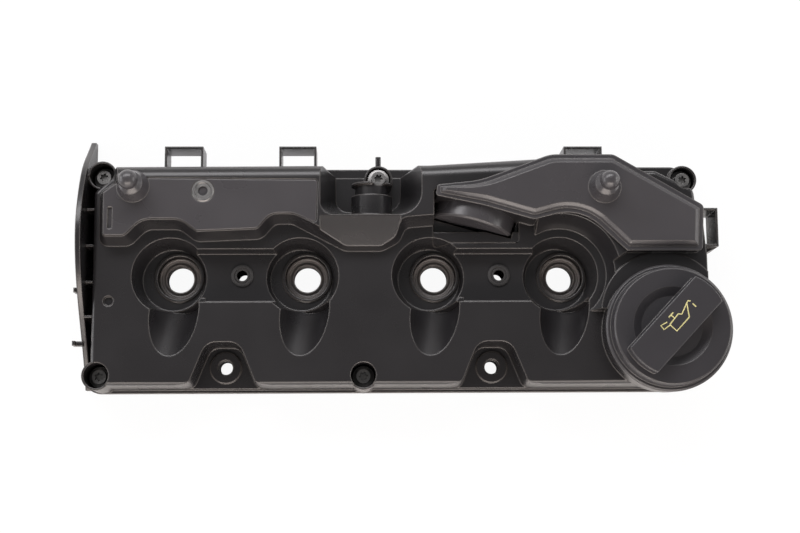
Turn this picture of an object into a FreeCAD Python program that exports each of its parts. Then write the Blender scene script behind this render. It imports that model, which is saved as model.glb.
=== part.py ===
import FreeCAD, Part
import math
import os
from FreeCAD import Placement, Rotation, Vector

# Moulded valve cover for a four-cylinder diesel head.
# Row frame, millimetres: X runs along the engine, Y to the rear, Z up.
# X = 0 lies midway between injectors 2 and 3, Y = 0 on the injector line,
# Z = 0 is the face of the cylinder head that the gasket seals on.

UP = Vector(0, 0, 1)
FAR = 300.0                       # longer than any piece, for cutting tools

# General moulding
cylinder_pitch = 88.0
wall = 3.0
flange_bottom = 1.2               # height of the plastic over the head: the gasket stands proud by this
flange_top = 8.0
deck_top = 43.0
deck_edge_radius = 3.0

# Plan of the flange and of the deck above it
flange_left = -197.0
flange_right = 232.0
flange_front = -78.8
flange_rear = 79.0
flange_corner = 10.0
deck_left = -188.0
deck_right = 227.5
deck_front = -75.4
deck_rear = 70.8
deck_draft = 1.4                  # how much wider the deck is at the flange than at its top

# Injector wells
injector_xs = [cylinder_pitch * (i - 1.5) for i in range(4)]
well_shift_x = -3.8               # centre of a well's rim from its injector
well_shift_y = -1.8
well_rim_radius = 26.0
well_foot_radius = 21.5
well_floor = 20.0
well_ring_radius = 17.0
well_ring_height = 1.5
injector_bore_radius = 15.0
injector_hole_radius = 9.25
seal_lip_top = 12.0
spigot_wall = 2.6

# Troughs that run down from the deck into the wells
trough_radius = 16.3
trough_slope = 33.0
trough_skew = 8.8
trough_shift_x = -0.8
trough_centre_y = -26.5
trough_reach = 13.0               # how far the trough's cylinder runs on inside the well
trough_rise = 70.0

# Pockets for the injector clamp bolts, one between each pair of wells
clamp_xs = [-cylinder_pitch, cylinder_pitch]
clamp_pocket_half_length = 31.0
clamp_pocket_front = -18.0
clamp_pocket_rear = 15.2
clamp_pocket_floor = 30.0
clamp_pocket_draft = 1.6
clamp_hole_radius = 3.4
clamp_bore_radius = 5.2
clamp_column_radius = 8.2
clamp_seal_flange_radius = 7.6
clamp_seal_flange = 1.6

# Bell recesses at the front edge, each round a compression sleeve
bell_xs = [-99.9, 83.4]
bell_floor = 14.0
bell_half_base = 21.5
bell_half_top = 10.2
bell_apex_y = -48.0
bell_draft = 1.5
sleeve_y = -61.8
sleeve_hole_radius = 4.6
sleeve_wall = 1.5
sleeve_top = 12.5
sleeve_mouth_radius = 5.2
sleeve_ring_radius = 10.8
sleeve_ring_height = 1.5
sleeve_column_radius = 12.5

# Cover bolts
bolt_places = [(-184.0, 69.0), (-184.3, -68.8), (5.5, 68.2), (-5.2, -69.0), (217.2, 67.0)]
bolt_rim_tops = [36.0, 41.0, 24.0, 41.0, 30.0]
bolt_shank_radius = 3.0
bolt_head_radius = 4.9
bolt_head_height = 5.5
bolt_washer_radius = 7.4
bolt_washer = 1.4
bolt_socket_radius = 2.7
bolt_socket_depth = 3.2
bolt_tip = 2.0
bolt_seat = 19.0                  # top of the plastic under the grommet
bolt_column_radius = 9.9
counterbore_radius = 8.5
grommet_flange = 3.4
grommet_flange_radius = 7.9
grommet_foot = 7.0
fit_gap = 0.1                     # between pieces that are pushed together
bolt_sleeve_wall = 1.2
grommet_wall = 1.6

# Left chamber and its lid
lid_left_bottom = 57.0
lid_thickness = 3.0
chamber_edge_radius = 9.0
chamber_slope = 4.8               # run of the chamber's front wall from lid to deck
lid_gap = 0.1
ledge = 4.0                       # width of the edge that carries a lid
weld_rib = 1.6
weld_rib_depth = 2.0

# Right chamber and its lid
lid_right_bottom = 62.0
lid_right_flange = 2.4
lid_right_dome = 4.2
lid_right_inset = 4.0
lid_right_dome_slope = 2.2
chamber_right_slope = 1.5
right_body_top = 54.0
well_wall_foot_radius = 32.0      # cone of the wall that sweeps round well 4
well_wall_top_radius = 39.3

# Ball studs for the acoustic cover
ball_radius = 6.5
ball_height = 22.0                # ball centre over its lid
ball_neck_radius = 4.2
ball_cone_radius = 10.9
ball_cone_height = 13.5
ball_left = (-159.4, 56.6)
ball_right = (156.6, 54.2)

# Breather pocket and pipe between the chambers
pocket_floor = 12.0
pocket_left = -24.5
pocket_right = 21.5
pocket_front = 47.0
pocket_lean = 13.0                # how far the sides of the pocket lean out at the top
pocket_front_lean = 9.8
bridge_span = (-34.0, 20.0)
bridge_front = 12.0
bridge_drop = 11.0
pipe_x = 0.7
pipe_z = 38.0
pipe_rim_radius = 13.8
pipe_neck_radius = 11.3
pipe_base_radius = 13.9
pipe_bore_radius = 9.0
pipe_end = 61.8
pipe_rim = 1.6
pipe_neck_front = 53.0
peg_radius = 1.9
peg_length = 9.0

# Pressure regulator, a drum standing on edge in its niche
drum_centre = Vector(68.6, 31.4, 33.0)
drum_turn = 15.0                  # the drum's axis is turned this far from the front
drum_tilt = 4.0
drum_radius = 28.5
drum_cap_depth = 13.0
drum_cap_wall = 2.4
drum_cap_edge = 1.2
drum_barrel_depth = 16.0
drum_barrel_wall = 3.5
drum_cradle = 2.0                 # wall of the trough that the drum's lower part lies in
diaphragm_thickness = 1.2
diaphragm_fold = 2.6
diaphragm_fold_inner = 17.0
diaphragm_fold_outer = 23.5
plate_radius = 15.5
plate_thickness = 2.0
plate_hub_radius = 6.0
plate_hub_length = 4.0
regulator_spring_radius = 8.5
regulator_spring_wire = 1.2
regulator_spring_turns = 4
outlet_radius = 5.0
niche_floor = 12.0
niche_front = 20.6

# Filler neck and cap
neck_centre = (197.2, -40.7)
tower_radius = 41.3
tower_foot_radius = 35.5
tower_cone_top = 46.0
tower_top = 62.0
tower_pad_centre = (196.3, -29.6)
tower_pad_radius = 42.0
tower_pad_height = 1.2
neck_bore_radius = 18.0
neck_tube_wall = 3.2
neck_top = 64.5
neck_tube_bottom = 36.0
neck_rim_radius = 24.0
cap_skirt_bottom = 65.2
cap_skirt_radius = 42.2
cap_flange_top = 69.0
cap_disc_radius = 38.7
cap_disc_top = 80.0
cap_wall = 2.6
cap_edge = 1.0
cap_dish_radius = 26.0
cap_dish_foot_radius = 20.0
cap_dish_depth = 3.6
grip_width = 24.0
grip_top = 91.0
grip_turn = 46.8
grip_half_length = 34.0
grip_wall = 2.8
plug_radius = 17.4
plug_bottom = 46.0
plug_wall = 2.4
plug_flange_radius = 23.0
plug_flange = 2.0
cap_seal_section = 1.6            # radius of the rubber ring's section
cap_seal_radius = 20.6
seal_gap = 0.02                   # between the ring and the pieces over and under it

# Left end plate
end_plate = 3.4
end_rib = 1.6
end_rib_ys = [69.0, 45.0, 20.0, -5.0, -28.6]
end_plate_arch = [(98.5, 8.0), (88.0, 22.0), (72.0, 42.0), (52.0, 54.5), (32.0, 61.0),
                  (12.0, 59.5), (-6.0, 52.5), (-36.0, 33.0), (-76.5, 8.0)]

# Harness loops
loop_wall = 1.6
loop_bottom = 13.0
loop_top = 36.0
loop_reach = 89.4
loop_spans = [(-141.6, -115.2), (-62.9, -37.3), (134.0, 160.5)]
side_loop_reach = 238.2
side_loop_span = (18.1, 44.8)

# Separator floors, seen from below only
floor_plate = 2.5
floor_plate_z = 33.0
floor_right_start = 108.0
floor_right_rear = 65.5
peg_stub_radius = 1.9
floor_pegs_left = [(-141.0, 36.7), (-96.0, 29.2), (-60.0, 40.4), (-150.0, 60.4), (-96.0, 60.0), (-46.0, 59.4)]
floor_pegs_right = [(190.0, 13.6), (213.0, 13.6), (221.2, 38.0), (196.0, 56.4), (150.0, 75.4), (126.0, 75.4)]
vent_radius = 7.4
vent_hole_radius = 3.2
vent_depth = 1.6
vent_place = (-112.6, 53.4)
slot_centre = (-174.4, 35.2)
slot_length = 14.8
slot_width = 3.0
slot_depth = 1.6

# Gasket in the flange
gasket_width = 3.4
gasket_inset = 1.7
gasket_groove_depth = 3.0
gasket_bead_width = 1.8


def box(x0, x1, y0, y1, z0, z1):
    return Part.makeBox(x1 - x0, y1 - y0, z1 - z0, Vector(x0, y0, z0))


def cylinder(x, y, radius, z0, z1):
    return Part.makeCylinder(radius, z1 - z0, Vector(x, y, z0))


def tube(x, y, outer, inner, z0, z1):
    return cylinder(x, y, outer, z0, z1).cut(cylinder(x, y, inner, z0 - 1, z1 + 1))


def cone(x, y, foot, top, z0, z1):
    return Part.makeCone(foot, top, z1 - z0, Vector(x, y, z0))


def join(shapes):
    first = shapes[0]
    return first.multiFuse(shapes[1:]).removeSplitter() if len(shapes) > 1 else first


def grown(corners, by):
    """The corners of an outline, anticlockwise, moved out by the given distance."""
    moved = []
    count = len(corners)
    for i, (x, y, radius) in enumerate(corners):
        px, py = corners[i - 1][:2]
        nx, ny = corners[(i + 1) % count][:2]
        a = Vector(x - px, y - py, 0).normalize()
        b = Vector(nx - x, ny - y, 0).normalize()
        out_a, out_b = Vector(a.y, -a.x, 0), Vector(b.y, -b.x, 0)
        shift = (out_a + out_b) * (by / (1.0 + out_a.dot(out_b)))
        convex = a.cross(b).z > 0
        moved.append((x + shift.x, y + shift.y, max(radius + (by if convex else -by), 0.4)))
    return moved


def outline(corners, z):
    """A closed wire through the corners, with each corner rounded to its radius."""
    edges, ends = [], []
    count = len(corners)
    for i, (x, y, radius) in enumerate(corners):
        here = Vector(x, y, z)
        to_last = (Vector(*corners[i - 1][:2], z) - here).normalize()
        to_next = (Vector(*corners[(i + 1) % count][:2], z) - here).normalize()
        half = to_last.getAngle(to_next) / 2
        run = radius / math.tan(half)
        middle = here + (to_last + to_next).normalize() * (radius / math.sin(half) - radius)
        ends.append((here + to_last * run, middle, here + to_next * run))
    for i, (start, middle, end) in enumerate(ends):
        edges.append(Part.Arc(start, middle, end).toShape())
        edges.append(Part.LineSegment(end, ends[(i + 1) % count][0]).toShape())
    return Part.Wire(edges)


def prism(corners, z0, z1):
    return Part.Face(outline(corners, z0)).extrude(UP * (z1 - z0))


def drafted(corners, z0, z1, foot_grow, top_grow=0.0):
    """A prism whose outline grows by different amounts at its foot and its top."""
    foot = outline(grown(corners, foot_grow), z0)
    top = outline(grown(corners, top_grow), z1)
    return Part.makeLoft([foot, top], True, True)


def on_drum_axis(shape):
    """Places a shape that was drawn round Z, with its front at Z = 0, on the drum's axis."""
    turn, tilt = math.radians(drum_turn), math.radians(drum_tilt)
    axis = Vector(-math.sin(turn) * math.cos(tilt), -math.cos(turn) * math.cos(tilt), math.sin(tilt))
    placed = shape.copy()
    placed.Placement = Placement(drum_centre, Rotation(UP, axis)).multiply(placed.Placement)
    return placed


# Outlines in plan, anticlockwise, each corner with its radius
flange_outline = [
    (flange_left, flange_front, flange_corner), (flange_right, flange_front, 30.0), (flange_right, 20.0, 20.0), (228.0, flange_rear, flange_corner),
    (flange_left, flange_rear, 2.0)]
deck_outline = [
    (deck_left, deck_front, 8.0), (deck_right, deck_front, 34.0), (deck_right, 10.0, 40.0),
    (222.0, 58.0, 6.0), (196.0, deck_rear, 6.0), (-172.0, deck_rear, 3.0), (deck_left, 56.0, 3.0)]
shelf_outline = [
    (150.0, 30.0, 2.0), (224.0, 30.0, 2.0), (224.5, 60.0, 6.0), (214.0, 77.0, 8.0), (150.0, 77.0, 2.0)]
lid_left_outline = [
    (-179.0, 23.4, 1.5), (-164.8, 23.4, 5.0), (-153.5, 34.7, 15.0), (-127.5, 34.7, 16.0),
    (-116.5, 26.4, 3.0), (-76.2, 28.0, 4.0), (-67.5, 38.4, 12.0), (-52.0, 38.4, 16.0),
    (-36.4, 31.2, 2.0), (-35.6, 61.2, 2.5), (-168.5, 62.6, 2.0), (-170.6, 59.0, 5.0), (-179.2, 52.8, 2.0)]
plateau_outline = [
    (-179.0, 23.4, 1.5), (-164.8, 23.4, 5.0), (-153.5, 34.7, 15.0), (-127.5, 34.7, 16.0),
    (-116.5, 26.4, 3.0), (-76.2, 28.0, 4.0), (-67.5, 38.4, 12.0), (-52.0, 38.4, 16.0),
    (-16.5, 19.6, 6.0), (6.6, 19.6, 6.0), (15.6, 24.4, 6.0), (20.6, 35.4, 8.0), (43.0, 37.2, 2.0),
    (47.0, 50.0, 4.0), (128.0, 62.0, 4.0), (136.0, 90.0, 2.0), (-168.0, 90.0, 2.0),
    (-170.4, 59.0, 6.0), (-179.2, 52.8, 2.0)]
lid_right_outline = [
    (43.6, 49.6, 2.0), (76.0, 42.8, 60.0), (109.4, 33.0, 8.0), (140.7, 41.2, 32.0), (171.4, 11.7, 3.0),
    (222.0, 11.6, 3.0), (223.7, 42.3, 4.0), (163.5, 77.4, 8.0), (121.0, 77.4, 24.0), (73.0, 59.6, 60.0),
    (44.8, 56.8, 2.0)]
right_body_outline = [
    (128.0, -26.0, 2.0), (deck_right - 0.4, -26.0, 2.0), (deck_right - 0.4, 10.0, 20.0), (224.5, 40.0, 4.0),
    (170.0, 60.0, 2.0), (128.0, 45.0, 2.0)]
well_wall_outline = [
    (112.0, 26.0, 1.0), (140.0, 10.0, 1.0), (160.0, 4.0, 1.0), (172.0, 11.7, 1.0), (172.0, 50.0, 1.0),
    (112.0, 50.0, 1.0)]
niche_outline = [
    (42.6, niche_front, 3.0), (101.0, niche_front, 3.0), (101.0, 44.0, 3.0), (42.6, 56.0, 3.0)]
lid_right_front = lid_right_outline[0]
lid_right_rear = lid_right_outline[-1]
pocket_outline = [
    (pocket_left, pocket_front, 9.0), (pocket_right, pocket_front, 12.0), (pocket_right, 95.0, 1.0),
    (pocket_left, 95.0, 1.0)]


def right_inset(by):
    """The right lid's outline moved in, with its narrow tip kept wide enough for a round end."""
    tip = lid_right_front[0] + 1.1 * by
    middle = (lid_right_front[1] + lid_right_rear[1]) / 2
    half = max(2.4 - 0.2 * by, 0.8)
    return [(tip, middle - half, 0.4)] + grown(lid_right_outline, -by)[1:-1] + [(tip, middle + half, 0.4)]


def bell_outline(x):
    return [
        (x - 34.0, -84.0, 1.0), (x + 34.0, -84.0, 1.0), (x + 33.0, -76.8, 1.0),
        (x + bell_half_base, -75.6, 6.0), (x + bell_half_top, bell_apex_y, 9.0),
        (x - bell_half_top, bell_apex_y, 9.0), (x - bell_half_base, -75.6, 6.0), (x - 33.0, -76.8, 1.0)]


def rear_limit():
    """Everything in front of the chambers' rear wall, with the big rounded edge along its top."""
    corners = [
        (-260.0, -150.0, 1.0), (260.0, -150.0, 1.0), (260.0, 79.4, 1.0), (128.0, 77.6, 30.0),
        (40.0, deck_rear + 1.6, 60.0), (-185.0, deck_rear + 0.6, 1.0), (-260.0, deck_rear + 0.6, 1.0)]
    block = prism(corners, -5.0, lid_left_bottom + lid_thickness)
    rear_edges = [e for e in block.Edges
                  if e.BoundBox.ZMin > 50 and e.BoundBox.YMin > 60 and e.BoundBox.XLength > 5]
    return block.makeFillet(chamber_edge_radius, rear_edges)


def well_cut(x, by=0.0):
    cx, cy = x + well_shift_x, well_shift_y
    bottom = well_floor - by
    rim = cone(cx, cy, well_foot_radius + by, well_rim_radius + by, bottom, deck_top)
    over = cylinder(cx, cy, well_rim_radius + by, deck_top, deck_top + 2)
    return join([rim, over])


def trough_cut(x, by=0.0):
    slope, skew = math.radians(trough_slope), math.radians(trough_skew)
    along = Vector(-math.sin(skew) * math.cos(slope), -math.cos(skew) * math.cos(slope), math.sin(slope))
    start = Vector(x + trough_shift_x, trough_centre_y, deck_top) - along * trough_reach
    body = Part.makeCylinder(trough_radius + by, trough_rise, start, along)
    return body.cut(box(-FAR, FAR, -FAR, FAR, deck_top + 2, FAR))


def clamp_cut(x, by=0.0):
    corners = [
        (x - clamp_pocket_half_length, clamp_pocket_front, 3.0),
        (x + clamp_pocket_half_length, clamp_pocket_front, 3.0),
        (x + clamp_pocket_half_length, clamp_pocket_rear, 1.0),
        (x - clamp_pocket_half_length, clamp_pocket_rear, 1.0)]
    return drafted(corners, clamp_pocket_floor - by, deck_top + 2, by, by + clamp_pocket_draft)


def bell_cut(x, by=0.0):
    return drafted(bell_outline(x), bell_floor - by, deck_top + 2, by, by + bell_draft)


def niche_cut(by=0.0):
    return prism(grown(niche_outline, by), niche_floor - by, lid_right_bottom + 20)


def pocket_cut(by=0.0):
    """The breather pocket: its sides lean out and its front wall leans forward towards the top."""
    height = lid_left_bottom + lid_thickness
    top = [
        (pocket_left - 9.6, pocket_front - pocket_front_lean, 9.0),
        (pocket_right + pocket_lean, pocket_front - pocket_front_lean, 16.0),
        (pocket_right + pocket_lean, 95.0, 1.0), (pocket_left - 9.6, 95.0, 1.0)]
    foot = outline(grown(pocket_outline, by), pocket_floor - by)
    return Part.makeLoft([foot, outline(grown(top, by), height + 0.5)], True, True)


def counterbores():
    """Round recesses in the deck over the bolts, down to the grommets' seats."""
    return [cylinder(x, y, counterbore_radius, bolt_seat, deck_top + 30) for x, y in bolt_places]


def bridge_cut(by=0.0):
    """The sloping face in front of the breather pocket."""
    top = lid_left_bottom + lid_thickness
    x0, x1 = bridge_span[0] - by, bridge_span[1] + by
    rear, front = pocket_front - pocket_front_lean + by, bridge_front - by
    profile = Part.makePolygon([
        Vector(x0, rear, top - by), Vector(x0, front, top - bridge_drop - 1.4 * by), Vector(x0, front, top + 5),
        Vector(x0, rear, top + 5), Vector(x0, rear, top - by)])
    return Part.Face(profile).extrude(Vector(x1 - x0, 0, 0))


def tower_solid(by):
    """The filler tower: a cone that fits inside the flange's corner below, and a cylinder above."""
    radius = tower_radius + by
    foot = cone(*neck_centre, tower_foot_radius + by, radius, flange_top, tower_cone_top)
    return join([foot, cylinder(*neck_centre, radius, tower_cone_top, tower_top + by)])


def tower_pad():
    """Low round pad behind the tower on the body's top."""
    x, y = tower_pad_centre
    pad = cylinder(x, y, tower_pad_radius, right_body_top - 2, right_body_top + tower_pad_height)
    return pad.common(drafted(right_body_outline, flange_top, tower_top, 1.0))


def drum_solid(by):
    """The regulator's barrel behind its cap, solid, with its back wall."""
    length = drum_barrel_depth + drum_barrel_wall
    return on_drum_axis(Part.makeCylinder(drum_radius + by, length, Vector(0, 0, -drum_cap_depth - length)))


def cradle():
    """The round trough below the niche's floor that the lower part of the drum lies in."""
    length = drum_barrel_depth + drum_barrel_wall + drum_cap_depth + 2 * drum_cradle
    body = on_drum_axis(Part.makeCylinder(drum_radius + fit_gap + drum_cradle, length,
                                          Vector(0, 0, 2 * drum_cradle - length)))
    return body.common(box(-FAR, FAR, -FAR, FAR, flange_bottom, niche_floor))


def make_outer():
    """The outside of the cover, solid."""
    limit = rear_limit()
    deck = drafted(deck_outline, flange_bottom, deck_top, deck_draft)
    edges = [e for e in deck.Edges if e.BoundBox.ZMin > deck_top - 0.1 and e.BoundBox.YMax < 60
             and not (e.BoundBox.XMax < deck_left + 1)]
    deck = deck.makeFillet(deck_edge_radius, edges)
    plateau = drafted(plateau_outline, flange_top, lid_left_bottom + lid_thickness,
                      chamber_slope * 3, 0.0).common(limit).cut(bridge_cut())
    well_cone = cone(injector_xs[3] + well_shift_x, well_shift_y, well_wall_foot_radius,
                     well_wall_top_radius, deck_top, lid_right_bottom)
    right_body = drafted(right_body_outline, flange_top, right_body_top, 1.0)
    well_wall = prism(well_wall_outline, flange_top, lid_right_bottom - 0.5)
    chamber = drafted(lid_right_outline, flange_top, lid_right_bottom, chamber_right_slope * 2, -1.0)
    low = join([join([deck, plateau]).cut(niche_cut()), cradle()])
    parts = [
        low, prism(flange_outline, flange_bottom, flange_top),
        drafted(shelf_outline, flange_bottom, bolt_seat + 6, 0.6),
        right_body.cut(well_cone), well_wall.cut(well_cone), chamber,
        tower_solid(0.0), tower_pad(), drum_solid(0.0)]
    return join(parts)


def make_hollow():
    """The inside of the cover: each outer block less the wall."""
    low = flange_bottom - 2
    deck = prism(grown(deck_outline, -wall), low, deck_top - wall)
    plateau = drafted(plateau_outline, flange_top, lid_left_bottom + lid_thickness - wall,
                      chamber_slope * 3 - wall, -wall)
    rear = prism(grown([(-250.0, -100.0, 1.0), (250.0, -100.0, 1.0), (250.0, 59.0, 1.0), (-250.0, 59.0, 1.0)],
                       0.0), deck_top, FAR)
    under = prism([(-250.0, -100.0, 1.0), (250.0, -100.0, 1.0), (250.0, deck_rear - wall - 1, 1.0),
                   (-250.0, deck_rear - wall - 1, 1.0)], low - 5, deck_top + 2)
    plateau = plateau.common(join([rear, under]))
    chamber = prism(right_inset(ledge), flange_top, lid_right_bottom + 1)
    tower = tower_solid(-wall)
    shelf = prism(grown(shelf_outline, -wall), low, bolt_seat + 3)
    body = prism(grown(right_body_outline, -wall), low, right_body_top - wall)
    hollow = join([deck, plateau, chamber, tower, shelf, body])
    keep = [well_cut(x, wall) for x in injector_xs]
    keep += [trough_cut(x, wall) for x in injector_xs]
    keep += [clamp_cut(x, wall) for x in clamp_xs]
    keep += [bell_cut(x, wall) for x in bell_xs]
    keep += [niche_cut(wall), pocket_cut(wall), bridge_cut(wall)]
    keep += [drum_solid(0.0), cradle()]
    well_cone = cone(injector_xs[3] + well_shift_x, well_shift_y, well_wall_foot_radius + wall,
                     well_wall_top_radius + wall, deck_top - wall, lid_right_bottom)
    return hollow.cut(join(keep)).cut(well_cone)


def make_columns():
    """Bosses that stand under the deck: injector spigots, bolt, clamp and sleeve columns."""
    spigots = [cylinder(x, 0, injector_bore_radius + spigot_wall, flange_bottom, well_floor) for x in injector_xs]
    rings = [cylinder(x, 0, well_ring_radius, well_floor - 1, well_floor + well_ring_height) for x in injector_xs]
    bolts = [cylinder(x, y, bolt_column_radius, flange_bottom, top)
             for (x, y), top in zip(bolt_places, bolt_rim_tops)]
    clamps = [cylinder(x, 0, clamp_column_radius, flange_bottom, clamp_pocket_floor) for x in clamp_xs]
    sleeves = [cylinder(x, sleeve_y, sleeve_column_radius, flange_bottom, bell_floor) for x in bell_xs]
    sleeves += [cylinder(x, sleeve_y, sleeve_ring_radius, bell_floor - 1, bell_floor + sleeve_ring_height)
                for x in bell_xs]
    neck = tube(*neck_centre, neck_bore_radius + neck_tube_wall, neck_bore_radius, neck_tube_bottom, neck_top)
    rim = tube(*neck_centre, neck_rim_radius, neck_bore_radius, tower_top - 1, neck_top)
    return spigots + rings + bolts + clamps + sleeves + [neck, rim] + make_pegs()


def make_pegs():
    """Pegs under the lids' ledges that carry the separator floors."""
    top = floor_plate_z + floor_plate
    left = [cylinder(x, y, peg_stub_radius, top, lid_left_bottom - 1) for x, y in floor_pegs_left]
    right = [cylinder(x, y, peg_stub_radius, top, lid_right_bottom - 1) for x, y in floor_pegs_right]
    return left + right


def make_end_plate():
    """The arched plate on the left end, with the ribs that stay it and its two hooks."""
    arch = Part.BSplineCurve()
    arch.interpolate([Vector(flange_left, y, z) for y, z in end_plate_arch])
    first, last = end_plate_arch[0], end_plate_arch[-1]
    foot = Part.makePolygon([Vector(flange_left, last[0], last[1]), Vector(flange_left, last[0], flange_bottom),
                             Vector(flange_left, first[0], flange_bottom), Vector(flange_left, *first)])
    plate = Part.Face(Part.Wire([arch.toShape()] + foot.Edges)).extrude(Vector(end_plate, 0, 0))
    under_arch = Part.Face(Part.Wire([arch.toShape()] + foot.Edges)).extrude(Vector(end_plate + 14, 0, 0))
    ribs = [box(flange_left + 1, deck_left + 1, y - end_rib / 2, y + end_rib / 2, flange_top - 1, 38.0)
            for y in end_rib_ys]
    ribs = [rib.common(under_arch) for rib in ribs]
    hooks = [box(flange_left - 5.6, flange_left + 1, y - 1.6, y + 1.6, 22.0, 28.0) for y in (-9.6, -46.0)]
    tips = [box(flange_left - 5.6, flange_left - 3.6, y - 1.6, y + 1.6, 22.0, 32.0) for y in (-9.6, -46.0)]
    return [plate] + ribs + hooks + tips


def rear_loop(x0, x1):
    outer = box(x0, x1, 66.0, loop_reach, loop_bottom, loop_top)
    inner = box(x0 + loop_wall, x1 - loop_wall, 60.0, loop_reach - loop_wall, loop_bottom - 1, loop_top + 1)
    return outer.cut(inner)


def make_side_loop():
    y0, y1 = side_loop_span
    outer = box(deck_right - 6, side_loop_reach, y0, y1, loop_bottom, loop_top + 6)
    inner = box(deck_right - 8, side_loop_reach - loop_wall, y0 + loop_wall, y1 - loop_wall,
                loop_bottom - 1, loop_top + 7)
    gusset = Part.Face(Part.makePolygon([
        Vector(deck_right - 4, y0, loop_bottom), Vector(side_loop_reach, y0, loop_bottom),
        Vector(deck_right - 4, y0 - 7, loop_bottom), Vector(deck_right - 4, y0, loop_bottom)])
    ).extrude(UP * (loop_top - loop_bottom))
    return [outer.cut(inner), gusset]


def make_pipe():
    """The breather pipe that points to the rear from the pocket's front wall."""
    back = Vector(0, 1, 0)
    front = pocket_front - pocket_front_lean - 1
    base = Part.makeCylinder(pipe_base_radius, pipe_neck_front - front, Vector(pipe_x, front, pipe_z), back)
    neck = Part.makeCylinder(pipe_neck_radius, pipe_end - pipe_neck_front, Vector(pipe_x, pipe_neck_front, pipe_z), back)
    rim = Part.makeCylinder(pipe_rim_radius, pipe_rim, Vector(pipe_x, pipe_end - pipe_rim, pipe_z), back)
    return [base, neck, rim]


def make_housing():
    shell = make_outer().cut(make_hollow())
    loops = [rear_loop(x0, x1) for x0, x1 in loop_spans] + make_side_loop()
    peg = Part.makeCylinder(peg_radius, peg_length, Vector(bolt_places[2][0], flange_rear - 1, flange_top + 4),
                            Vector(0, 1, 0))
    pocket_walls = pocket_cut()
    cuts = [well_cut(x) for x in injector_xs] + [trough_cut(x) for x in injector_xs]
    cuts += [clamp_cut(x) for x in clamp_xs] + [bell_cut(x) for x in bell_xs]
    shell = shell.cut(join(cuts)).cut(pocket_walls)
    body = join([shell] + make_columns() + make_end_plate() + loops + [peg] + make_pipe())
    bores = [cylinder(x, 0, injector_bore_radius, -1, well_floor + 5) for x in injector_xs]
    bores += [cylinder(x, 0, clamp_bore_radius, -1, clamp_pocket_floor + 5) for x in clamp_xs]
    sleeve_outer = sleeve_hole_radius + sleeve_wall
    bores += [cylinder(x, sleeve_y, sleeve_outer + fit_gap, -1, sleeve_top) for x in bell_xs]
    bores += [cylinder(x, sleeve_y, sleeve_mouth_radius, sleeve_top - 1, bell_floor + 5) for x in bell_xs]
    bores += [cylinder(x, y, grommet_radius() + fit_gap, -1, bolt_seat + 1) for x, y in bolt_places]
    bores += counterbores()
    bores += [cylinder(*neck_centre, neck_bore_radius, neck_tube_bottom - 1, neck_top + 1)]
    bores += [Part.makeCylinder(pipe_bore_radius, 40, Vector(pipe_x, pipe_end - 39, pipe_z), Vector(0, 1, 0))]
    bores += [lid_recess()]
    bores += [drum_bore()]
    bores += [cylinder(-177.0, -18.7, 3.4, deck_top - 2.4, deck_top + 1)]
    bores += [gasket_groove()]
    return body.cut(join(bores))


def lid_recess():
    """The recess that the left lid lies in, and the openings under both lids."""
    seat = prism(grown(lid_left_outline, lid_gap), lid_left_bottom, lid_left_bottom + 20)
    left = prism(grown(lid_left_outline, -ledge), deck_top, lid_left_bottom + 1)
    right = prism(right_inset(ledge), deck_top + 8, lid_right_bottom + 1).cut(drum_solid(drum_cradle))
    rib_room = prism(right_inset(ledge), lid_right_bottom - weld_rib_depth - fit_gap, lid_right_bottom + 1)
    return join([seat, left, right, rib_room])


def drum_bore():
    """The inside of the drum behind its cap, and the room for the cap and the diaphragm's rim."""
    seat = -drum_cap_depth - diaphragm_thickness
    barrel = Part.makeCylinder(drum_radius - drum_barrel_wall, drum_barrel_depth - diaphragm_thickness,
                               Vector(0, 0, -drum_cap_depth - drum_barrel_depth))
    mouth = Part.makeCylinder(drum_radius + fit_gap, 2 * drum_cradle - drum_cradle - seat, Vector(0, 0, seat))
    outlet = Part.makeCylinder(outlet_radius, 30, Vector(0, 0, -drum_cap_depth - drum_barrel_depth - 12))
    return join([on_drum_axis(barrel), on_drum_axis(mouth), on_drum_axis(outlet)])


def grommet_radius():
    return bolt_shank_radius + fit_gap + bolt_sleeve_wall + fit_gap + grommet_wall


def ring_prism(corners, inset, width, z0, z1):
    outer = prism(grown(corners, -inset), z0, z1)
    return outer.cut(prism(grown(corners, -inset - width), z0 - 1, z1 + 1))


def gasket_groove():
    return ring_prism(flange_outline, gasket_inset, gasket_width, flange_bottom - 1,
                      flange_bottom + gasket_groove_depth)


def make_gasket():
    body = ring_prism(flange_outline, gasket_inset + fit_gap, gasket_width - 2 * fit_gap,
                      flange_bottom / 2, flange_bottom + gasket_groove_depth)
    bead_inset = gasket_inset + (gasket_width - gasket_bead_width) / 2
    bead = ring_prism(flange_outline, bead_inset, gasket_bead_width, 0.0, flange_bottom)
    return join([body, bead])


def turned(points, x=0.0, y=0.0):
    """A solid of revolution about Z from (radius, z) points."""
    wire = Part.makePolygon([Vector(r, 0, z) for r, z in points + points[:1]])
    solid = Part.Face(wire).revolve(Vector(0, 0, 0), UP, 360)
    solid.translate(Vector(x, y, 0))
    return solid


def make_injector_seal(x):
    foot = injector_bore_radius + spigot_wall - 0.8
    bore = injector_bore_radius - fit_gap
    return turned([
        (injector_hole_radius, 0.0), (foot, 0.0), (foot, flange_bottom),
        (bore, flange_bottom), (bore, seal_lip_top + 2.4), (bore - 1.6, seal_lip_top + 2.4),
        (injector_hole_radius + 1.2, seal_lip_top + 0.4), (injector_hole_radius, seal_lip_top)], x)


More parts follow.
